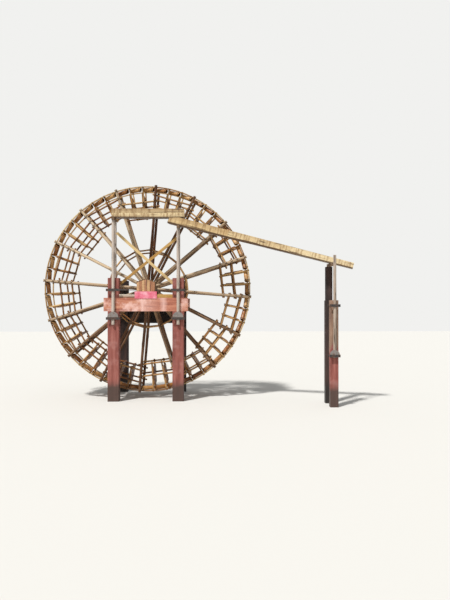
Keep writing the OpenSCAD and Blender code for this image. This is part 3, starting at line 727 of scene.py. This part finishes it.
def makeHoop(end, side):
    shape = newShape()
    laths, steps = hoopSettings["laths"], hoopSettings["stepsInBay"]
    width = (railWidth - (laths - 1) * hoopSettings["gap"]) / laths
    joint = degrees(hoopSettings["joint"] / hoopRadius)
    for lath in range(laths):
        near = side * railY - railWidth / 2 + lath * (width + hoopSettings["gap"])
        for i, spoke, _ in eachBay():
            rng = random.Random(900 + i + 20 * lath + 100 * side)
            tint = rng.random()
            shift = rng.uniform(-20, 20)
            rings = []
            for k in range(steps + 1):
                angle = spoke + joint + (bay - 2 * joint) * k / steps
                wave = noise.noise(Vector((angle * 0.35, lath * 7.3 + side, 0))) * hoopSettings["wander"]
                inner = hoopRadius - wheelPlan["hoopThickness"] / 2 + hoopSettings["inset"] + max(0, wave)
                outer = hoopOuter - hoopSettings["inset"] + min(0, wave)
                run = radians(angle) * hoopRadius + shift
                wet = soaking(angle, *hoopSettings["soaked"])
                corners = ((inner, near), (inner, near + width), (outer, near + width), (outer, near))
                rings.append([(onWheel(angle, r, y), (r * 2 + shift, y + shift, run), wet, 0.0) for r, y in corners])
            addSkin(shape, rings, tint)
    makeObject(end + "_hoop_laths", shape, "wheel", woods["splitBamboo"], [end + "_hoop"])


for end, side in wheelSides.items():
    makeHoop(end, side)

# Paddles: four boards one above the other, nailed to the side of the sticks
scoopPlan = dict(width=0.156, wall=0.012, length=0.430, mouth=0.070, tilt=radians(28.0), lead=0.123,
                 seat=0.0012)
scoopRadius = hoopRadius - wheelPlan["hoopThickness"] / 2 - scoopPlan["seat"] - scoopPlan["width"] / 2
paddleSettings = dict(boards=4, gap=0.006, thickness=0.025, height=0.680, below=0.008, uneven=0.03,
                      nail=(0.008, 0.004), sunk=0.001, soaked=(0.15, 0.65))


def makePaddles():
    shape, nails = newShape(), newShape()
    low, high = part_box("paddles")
    width = high.y - low.y
    boards, gap, thick = (paddleSettings[key] for key in ("boards", "gap", "thickness"))
    lowest = scoopRadius - scoopPlan["width"] / 2 - paddleSettings["below"] - paddleSettings["height"]
    each = (paddleSettings["height"] - (boards - 1) * gap) / boards
    for i, j, angle, _ in eachStick():
        out, onward = outward(angle), roundward(angle)
        face = hubCentre + onward * (stickWidth / 2 + wheelPlan["fit"])
        for b in range(boards):
            foot = lowest + b * (each + gap)
            seed = 1000 + i * 10 + j * 5 + b
            rng = random.Random(seed)
            inset = rng.uniform(0, paddleSettings["uneven"])
            addBoard(shape, face + out * foot + acrossWheel * (-width / 2 + inset),
                     acrossWheel * (width - inset - rng.uniform(0, paddleSettings["uneven"])), out * each,
                     onward * thick, seed + 200, wet=soaking(angle, *paddleSettings["soaked"]))
            for side in wheelSides.values():
                head = face + out * (foot + each / 2) + acrossWheel * side * stickY
                addNail(nails, head + onward * (thick - paddleSettings["sunk"]), onward, *paddleSettings["nail"])
    makeObject("paddle_boards", shape, "wheel", woods["paddleBoard"], ["paddles"])
    makeObject("paddle_nails", nails, "wheel")


makePaddles()

# Bamboo scoops: a culm with its joints, a slant-cut mouth and painted shade inside
scoopSettings = dict(sides=22, slant=0.030, joints=(-0.145, -0.335), jointHeight=0.004, lump=0.03,
                     floor=0.030, soaked=(0.1, 0.55), shadeInside=0.75, shadeAtMouth=0.1, darkJoint=0.6,
                      ringWidth=0.006, lineWidth=0.004, skin=0.001, tailShare=0.985)


# Each scoop's number and angle, and the way to its mouth
def eachScoop(first=0, step=1):
    for k in range(first, 3 * wheelPlan["spokes"], step):
        angle = wheelPlan["firstSpoke"] + station * k + degrees(scoopPlan["lead"] / scoopRadius)
        yield k, angle, -roundward(angle) * cos(scoopPlan["tilt"]) - acrossWheel * sin(scoopPlan["tilt"])


def makeScoops(letter, group):
    shape = newShape()
    mouth, joints = scoopPlan["mouth"], scoopSettings["joints"]
    tail = mouth - scoopPlan["length"]
    floor = tail + scoopSettings["floor"]
    outer = scoopPlan["width"] / 2
    inner = outer - scoopPlan["wall"]
    stations = {tail, tail + 0.004, tail + 0.022, floor}
    stations |= {joint + step for joint in joints for step in (-0.016, -0.005, 0, 0.005, 0.016)}
    stations = sorted(s for s in stations if s >= tail) + [-0.07, 0.0, 0.04, mouth]
    stations = [(s, False) for s in stations] + [(mouth, True), (0.0, True), (floor, True)]
    for k, angle, toMouth in eachScoop(group, 4):
        up = outward(angle)
        aside = toMouth.cross(up).normalized()
        crossing = onWheel(angle, scoopRadius, -railY)
        rng = random.Random(1500 + k)
        tint = rng.random()
        shift = grainShift(rng)
        wet = soaking(angle, *scoopSettings["soaked"])
        rings = []
        for s, inside in stations:
            near = min(abs(s - joint) for joint in joints)
            swell = scoopSettings["jointHeight"] * exp(-(near / scoopSettings["ringWidth"]) ** 2)
            if inside:
                # inside the culm the darkening is painted shade, light at the mouth and deep beyond it
                dark = scoopSettings["shadeInside"] if s < mouth else scoopSettings["shadeAtMouth"]
            else:
                dark = scoopSettings["darkJoint"] * exp(-(near / scoopSettings["lineWidth"]) ** 2)
            ring = []
            for a, out in roundCircle(scoopSettings["sides"], up, aside):
                lump = noise.noise(shift + Vector((cos(a), sin(a), s * 4))) * scoopSettings["lump"]
                if inside:
                    r = inner * (1 + lump)
                else:
                    r = (outer - scoopSettings["skin"]) * (1 + min(0, lump)) + swell
                    r *= scoopSettings["tailShare"] if s == tail else 1
                slant = scoopSettings["slant"] * (1 - cos(a)) / 2 if s == mouth else 0
                ring.append((crossing + toMouth * (s - slant) + out * r,
                             (cos(a) * r + shift.x, sin(a) * r + shift.y, s + shift.z), wet, dark))
            rings.append(ring)
        addSkin(shape, rings, tint)
    makeObject("bamboo_scoops_" + letter, shape, "wheel", woods["bambooCulm"], ["scoops_" + letter])


for group, letter in enumerate("abcd"):
    makeScoops(letter, group)
print("hoop, paddles and scoops made")


# Wire lashings wherever two poles of the wheel cross

# Each pole has its place across the wheel, its direction, its width and, where it differs, its depth
def addLashing(shape, side, angle, radius, *poles):
    one, two = ((onWheel(angle, radius, side * y), direction, size[0] / 2, size[-1] / 2)
                for y, direction, *size in poles)
    for along in (one[1] + two[1], one[1] - two[1]):
        addWraps(shape, one, two, along.normalized(), lashSettings["turns"], lashSettings["points"])


def makeLashings(end, side):
    shape = newShape()
    hoopSize = (wheelPlan["hoopThickness"], railWidth)
    for i, first, middle in eachBay():
        for angle in (first, first + bay):
            for drop in wheelPlan["drops"]:
                addLashing(shape, side, angle, railRadius(drop, i), (spokeY, outward(angle), spokeWidth),
                           (railY, roundward(middle), railWidth))
        out, onward = outward(first), roundward(first)
        addLashing(shape, side, first, hoopRadius, (spokeY, out, spokeWidth * lashSettings["thinTip"]),
                   (railY, onward, *hoopSize))
        addLashing(shape, side, first, wheelPlan["ringRadius"], (spokeY, out, spokeWidth),
                   (ringY, onward, wheelPlan["ringWidth"]))
        for angle in (first + station, first + station * 2):
            addLashing(shape, side, angle, hoopRadius, (railY, roundward(angle), *hoopSize),
                       (stickY, outward(angle), stickWidth))
    makeObject(end + "_rim_lashings", shape, "wheel")


def makeStickLashings(end, side):
    shape = newShape()
    for i, _, angle, middle in eachStick():
        for drop in wheelPlan["drops"]:
            radius = railRadius(drop, i) * cos(bayHalf) / cos(radians(angle - middle))
            addLashing(shape, side, angle, radius, (railY, roundward(middle), railWidth),
                       (stickY, outward(angle), stickWidth))
    makeObject(end + "_stick_lashings", shape, "wheel")


def makeScoopTies():
    shape = newShape()
    for _, angle, toMouth in eachScoop():
        onward = roundward(angle)
        hoop = (onWheel(angle, hoopRadius, -railY), -onward, railWidth / 2, wheelPlan["hoopThickness"] / 2)
        scoop = (onWheel(angle, scoopRadius, -railY), toMouth, scoopPlan["width"] / 2, scoopPlan["width"] / 2)
        addWraps(shape, hoop, scoop, (toMouth - onward).normalized().cross(outward(angle)),
                 lashSettings["tieTurns"], lashSettings["tiePoints"])
    makeObject("scoop_ties", shape, "wheel")


for make in (makeLashings, makeStickLashings):
    for end, side in wheelSides.items():
        make(end, side)
makeScoopTies()
print("lashings made")

# Poles that hold the trough and the flume, with a tint for each from 0, dark, to 1, pale
propSettings = dict(bend=0.006, lump=0.07, sides=16, step=0.10, knots=1.5, soaked=(0.0, 0.0), butt=1.0, taper=0.95,
                    tints={"left_poles": 1.0, "right_poles": 0.8, "far_pole": 0.4})


def makeProps(node, tint):
    shape = newShape()
    prop = node.replace("_", "_prop_")
    low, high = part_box(node)
    width = high.x - low.x
    x = (low.x + high.x) / 2
    paired = high.y - low.y > 1.5 * width
    for k, y in enumerate([low.y + width / 2, high.y - width / 2] if paired else [(low.y + high.y) / 2]):
        addPole(shape, Vector((x, y, low.z)), Vector((x, y, high.z)), width, propSettings,
                2000 + k + len(node) * 7, tint=tint)
    makeObject(prop, shape, "frame", woods["greyPole"], [node])


for node, tint in propSettings["tints"].items():
    makeProps(node, tint)

# Trough: two boards to a side, a floor of two boards and an end of two
troughSettings = dict(gap=0.003, side=0.025, floor=0.030, nail=(0.007, 0.003),
                      # the lower boards carry painted shade, with some water stain, along their foot
                      lower=dict(footWet=0.4, footShadeStain=0.9, tint=0.9, wander=0.003),
                      upper=dict(wet=0.75, footWet=-0.45, wander=0.003),
                      # the floor boards are wet and darkened further all over: painted shade for their underside
                      soakedShadedFloor=dict(wet=1.0, stain=0.8),
                      firstNail=Vector((0.1, 0, 0.016)), nailStep=Vector((0.31, 0, 0)), nails=9,
                      endNails=(Vector((0.013, 0, 0.08)), Vector((0.013, 0, 0.24))))


# The width of each of two boards that fill a space with a gap between them, and the step to the second
def splitWidth(width):
    each = (width - troughSettings["gap"]) / 2
    return each, each + troughSettings["gap"]


def makeTrough():
    shape, nails = newShape(), newShape()
    low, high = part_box("trough_sides")
    length, side = high.x - low.x, troughSettings["side"]
    half, step = splitWidth(high.z - low.z)
    for s, y in enumerate((low.y, high.y - side)):
        for b, look in enumerate((troughSettings["lower"], troughSettings["upper"])):
            addSquareBoard(shape, (low.x, y, low.z + b * step), (length, side, half), "xzy",
                           2100 + 10 * s + b, **look)
    floorLow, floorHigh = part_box("trough_floor")
    wide, step = splitWidth(floorHigh.y - floorLow.y)
    for b in range(2):
        addSquareBoard(shape, (floorLow.x, floorLow.y + b * step, floorLow.z),
                       (length, wide, troughSettings["floor"]), "xyz", 2130 + b, **troughSettings["soakedShadedFloor"])
    endLow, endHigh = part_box("trough_end")
    tall, step = splitWidth(endHigh.z - endLow.z)
    for b in range(2):
        addSquareBoard(shape, (endLow.x, endLow.y, endLow.z + b * step),
                       (endHigh.x - endLow.x, endHigh.y - endLow.y, tall), "yzx", 2140 + b, wet=0.5)
    for face, s in ((low.y, -1), (high.y, 1)):
        corner = Vector((low.x, face, low.z))
        places = [troughSettings["firstNail"] + troughSettings["nailStep"] * k for k in range(troughSettings["nails"])]
        for place in (*places, *troughSettings["endNails"]):
            addNail(nails, corner + place, acrossWheel * s, *troughSettings["nail"])
    makeObject("trough_boards", shape, "frame", woods["troughBoard"],
               ["trough_sides", "trough_floor", "trough_end"])
    makeObject("trough_nails", nails, "frame")


makeTrough()

# Flume: each side and the floor run in three lengths that butt over the joints
flumePlan = dict(pitch=14.6, yaw=11.3, start=0.790, length=6.650, width=0.400, high=0.300,
                 low=0.200, drop=0.190, lengths=3, joint=0.003, topWet=(0.5, 0.35, 0.1),
                 # each side's dark foot is painted shade with some water stain
                 footShadeStain=(1.0, 1.0, 0.9), tints=(0.4, 0.7, 1.0), nails=8, nailInset=0.08, nailRise=0.015)


def makeFlume():
    shape, nails = newShape(), newShape()
    yaw, pitch = radians(-flumePlan["yaw"]), radians(flumePlan["pitch"])
    ex, ey, ez = (Matrix.Rotation(yaw, 3, "Z") @ Matrix.Rotation(pitch, 3, "Y")).transposed()
    low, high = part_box("trough_sides")
    origin = Vector((hubCentre.x + flumePlan["start"], (low.y + high.y) / 2, low.z - flumePlan["drop"]))
    lengths, side, half = flumePlan["lengths"], troughSettings["side"], flumePlan["width"] / 2
    nailCount, inset = flumePlan["nails"], flumePlan["nailInset"]
    piece = (flumePlan["length"] - (lengths - 1) * flumePlan["joint"]) / lengths
    inner = half - side - wheelPlan["fit"]
    wide, step = splitWidth(2 * inner)
    for n in range(lengths):
        along = n * (piece + flumePlan["joint"])
        start = origin + ex * along
        heights = [flumePlan["high"] + (flumePlan["low"] - flumePlan["high"]) * s / flumePlan["length"]
                   for s in (along, along + piece)]
        wet, footShadeStain, tint = (flumePlan[key][n] for key in ("topWet", "footShadeStain", "tints"))
        for s, y in ((-1, -half), (1, half - side)):
            addBoard(shape, start + ey * y, ex * piece, ez * heights[0], ey * side, 2200 + 10 * n + s,
                     wet=wet, footWet=-wet, footShadeStain=footShadeStain, tint=tint, wander=0.003, farHeight=heights[1],
                     ceiling=None if n else low.z - wheelPlan["fit"])
            for k in range(nailCount):
                reach = inset + (piece - 2 * inset) * k / (nailCount - 1)
                place = start + ex * reach + ey * s * half + ez * flumePlan["nailRise"]
                addNail(nails, place, ey * s, *troughSettings["nail"])
        for b in range(2):
            addBoard(shape, start + ey * (b * step - inner), ex * piece, ey * wide,
                     ez * troughSettings["floor"], 2240 + 10 * n + b, **troughSettings["soakedShadedFloor"])
    makeObject("flume_boards", shape, "frame", woods["troughBoard"],
               ["flume_sides", "flume_floor"])
    makeObject("flume_nails", nails, "frame")


makeFlume()

# Brace boards: the x and z of each one's upper and lower end, x from the hub
bracePlan = dict(ends=(((-1.077, 5.995), (1.030, 4.095)), ((1.077, 5.815), (-1.030, 4.095))), width=0.100,
                 nails=(0.035, 0.075), nail=(0.008, 0.003))


def makeBraces():
    shape, nails = newShape(), newShape()
    low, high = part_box("cross_braces")
    thick = (high.y - low.y - wheelPlan["fit"]) / 2
    for k, ((hx, hz), (lx, lz)) in enumerate(bracePlan["ends"]):
        y = low.y + k * (thick + wheelPlan["fit"])
        start, top = Vector((hubCentre.x + lx, y, lz)), Vector((hubCentre.x + hx, y, hz))
        run = (top - start).normalized()
        up = acrossWheel.cross(run)
        up = (up if up.z > 0 else -up) * bracePlan["width"]
        addBoard(shape, start - up / 2, top - start, up, acrossWheel * thick, 2300 + k, wander=0.002)
        for s in bracePlan["nails"]:
            for place in (start + run * s, top - run * s):
                addNail(nails, place, -acrossWheel, *bracePlan["nail"])
    makeObject("brace_boards", shape, "frame", woods["braceBoard"], ["cross_braces"])
    makeObject("brace_nails", nails, "frame")


makeBraces()

# Sleepers under the bearings: a bleached one and a yellow one in each pair
sleeperPlan = dict(deep=0.376, inset=0.002, footWet=1.3, sawn=dict(ease=0.010, wander=0.003))


def makeSleepers():
    grey, yellow = newShape(), newShape()
    low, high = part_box("sleepers")
    middle = (low.x + high.x) / 2
    deep, inset = sleeperPlan["deep"], sleeperPlan["inset"]
    ends = ((grey, low.x, middle - inset, sleeperPlan["footWet"]), (yellow, middle + inset, high.x, 0.0))
    for k, y in enumerate((low.y + inset, high.y - deep - inset)):
        for s, (shape, left, right, footWet) in enumerate(ends):
            addSquareBoard(shape, (left, y, low.z), (right - left, deep, high.z - low.z), "xzy",
                           2400 + 2 * k + s, footWet=footWet, **sleeperPlan["sawn"])
    makeObject("left_sleepers", grey, "frame", woods["bleachedSleeper"], ["sleepers"])
    makeObject("right_sleepers", yellow, "frame", woods["braceBoard"])


makeSleepers()

# Slatted covers over the bearings, each slat cut to the slope of the roof
coverPlan = dict(width=0.640, shoulder=0.420, peak=0.110, slats=7, thickness=0.030, gap=0.003,
                 roof=0.022, overhang=0.015, ridge=0.001, lift=0.0006, nailRoom=0.002,
                 nailRows=(0.05, 0.34), nailInset=0.02, nail=(0.004, 0.0025, 6), sunk=0.001)


def coverRise(x):
    return coverPlan["shoulder"] + coverPlan["peak"] * (1 - abs(x) / (coverPlan["width"] / 2))


def makeCovers():
    slats, roofs, nails = newShape(), newShape(), newShape()
    width, count, gap = (coverPlan[key] for key in ("width", "slats", "gap"))
    eaves = width / 2 + coverPlan["overhang"]
    for s, node in ((-1, "front_bearing_cover"), (1, "rear_bearing_cover")):
        low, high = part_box(node)
        face = (low.y if s < 0 else high.y) - s * coverPlan["nailRoom"]
        near, far = sorted((face, face - s * (coverPlan["thickness"] - coverPlan["nailRoom"])))
        for i in range(count):
            x0 = -width / 2 + i * width / count + gap / 2
            x1 = x0 + width / count - gap
            tops = [x1, 0.0, x0] if x0 < 0 < x1 else [x1, x0]
            outline = [(x0, 0.0), (x1, 0.0)] + [(x, coverRise(x)) for x in tops]
            addPlank(slats, [(hubCentre.x + x, low.z + z) for x, z in outline], near, far, 2500 + i * 3 + s)
            for z in coverPlan["nailRows"]:
                for x in (x0 + coverPlan["nailInset"], x1 - coverPlan["nailInset"]):
                    place = Vector((hubCentre.x + x, face - s * coverPlan["sunk"], low.z + z))
                    addNail(nails, place, acrossWheel * s, *coverPlan["nail"])
        foot = low.z + coverPlan["lift"]
        for side in (-1, 1):
            slope = [(side * coverPlan["ridge"], coverRise(0)), (side * eaves, coverRise(eaves))]
            outline = slope + [(x, z + coverPlan["roof"]) for x, z in reversed(slope)]
            addPlank(roofs, [(hubCentre.x + x, foot + z) for x, z in outline], low.y, high.y,
                     2560 + side + 3 * s, lying=True)
    makeObject("cover_slats", slats, "frame", woods["coverSlat"],
               ["front_bearing_cover", "rear_bearing_cover"])
    makeObject("cover_roofs", roofs, "frame", woods["roughTimber"])
    makeObject("cover_nails", nails, "frame")


makeCovers()

# Squared timbers that keep the solid's own box: low beam and the bearer under the trough
timbers = {
    # the low beam's black-brown is mostly painted shade
    "low_beam_timber": ("rear_low_beam", "xzy", "shadedLowTimber", "dark_timber"),
    "trough_bearer_timber": ("trough_bearer", "yzx", "roughTimber", "rough_timber"),
}
for name, (node, axes, wood, slot) in timbers.items():
    shape = newShape()
    low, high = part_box(node)
    addSquareBoard(shape, low, high - low, axes, 2600 + len(node), **sleeperPlan["sawn"])
    makeObject(name, shape, "frame", woods[wood], [node])

# CAD solids that keep their shape: a finish, and edges eased by a width in metres
easing = dict(segments=2, limit_method="ANGLE", angle_limit=radians(50))
finishes = (
    (paints["chalkedPostPaint"], 0.008, ("front_left_pier", "front_right_pier")),
    (paints["peeledFarPaint"], 0.008, ("far_front_pier",)),
    (paints["grimyShadedRearPaint"], 0.008, ("rear_left_pier", "rear_right_pier", "far_rear_pier")),
    (paints["streakedBeamPaint"], 0.010, ("front_beam", "rear_beam")),
    (signPaint, 0.002, ("sign_plate",)),
    (irons["rustedClampIron"], 0.002, ("pole_clamps", "far_clamps", "tie_rod")),
    (irons["greyShoeIron"], 0.006, ("pole_shoes",)),
    (woods["bearingTimber"], 0.006, ("front_bearing", "rear_bearing")),
    (woods["bearerTimber"], 0.008, ("flume_bearers",)),
    (woods["axleTimber"], 0.010, ("axle", "front_hub", "rear_hub")),
)
for material, width, names in finishes:
    for name in names:
        thing = frame["nodes"][name]
        thing.data.materials.clear()
        thing.data.materials.append(material)
        bevel = thing.modifiers.new("easedEdges", "BEVEL")
        for key, value in dict(easing, width=width).items():
            setattr(bevel, key, value)
print("frame dressed")

# Floor, light and camera. The place of the camera is from the foot of the hub.
stageSettings = dict(size=120, floor="#d5d2cb", light="#eef2f6", strength=0.45, backdrop="#f1f1ef")
sunSettings = dict(source=Vector((-0.45, -0.62, 1.15)), strength=3.9, softness=5.0)
cameraSettings = dict(place=Vector((2.16, -24.7, 3.40)), lens=39.36, yaw=1.57, pitch=0.44, reach=300)
hubFoot = Vector((hubCentre.x, hubCentre.y, cadLow.z))


def makeStage():
    bpy.ops.mesh.primitive_plane_add(size=stageSettings["size"], location=hubFoot)
    floor = bpy.context.object
    floor.name = "studio_floor"
    material, _, shader = startMaterial("paleFloor", Roughness=0.9)
    setInputs(shader, {"Base Color": stageSettings["floor"]})
    floor.data.materials.append(material)
    floor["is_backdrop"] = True
    world = bpy.data.worlds.new("softStudio")
    world.use_nodes = True
    world.node_tree.nodes.clear()
    add = partial(addNode, world.node_tree)
    light = add("Background", Color=stageSettings["light"], Strength=stageSettings["strength"])
    backdrop = add("Background", Color=stageSettings["backdrop"], Strength=1.0)
    path = add("LightPath").outputs
    seen = add("Math", path["Is Camera Ray"], path["Is Glossy Ray"], operation="MAXIMUM")
    add("OutputWorld", Surface=add("MixShader", seen, light, backdrop))
    bpy.context.scene.world = world


def makeSun():
    sun = bpy.data.lights.new("sun", "SUN")
    sun.energy = sunSettings["strength"]
    sun.angle = radians(sunSettings["softness"])
    lamp = bpy.data.objects.new("sun", sun)
    lamp.rotation_mode = "QUATERNION"
    lamp.rotation_quaternion = (-sunSettings["source"]).to_track_quat("-Z", "Y")
    bpy.context.scene.collection.objects.link(lamp)


def makeCamera():
    data = bpy.data.cameras.new("camera")
    data.lens = cameraSettings["lens"]
    data.sensor_width = 36
    data.clip_end = cameraSettings["reach"]
    camera = bpy.data.objects.new("camera", data)
    camera.location = hubFoot + cameraSettings["place"]
    camera.rotation_euler = (radians(90 + cameraSettings["pitch"]), 0, radians(-cameraSettings["yaw"]))
    bpy.context.scene.collection.objects.link(camera)
    bpy.context.scene.camera = camera


makeStage()
makeSun()
makeCamera()
bpy.context.scene.view_settings.view_transform = "Standard"
print("stage, light and camera made")

low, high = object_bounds()
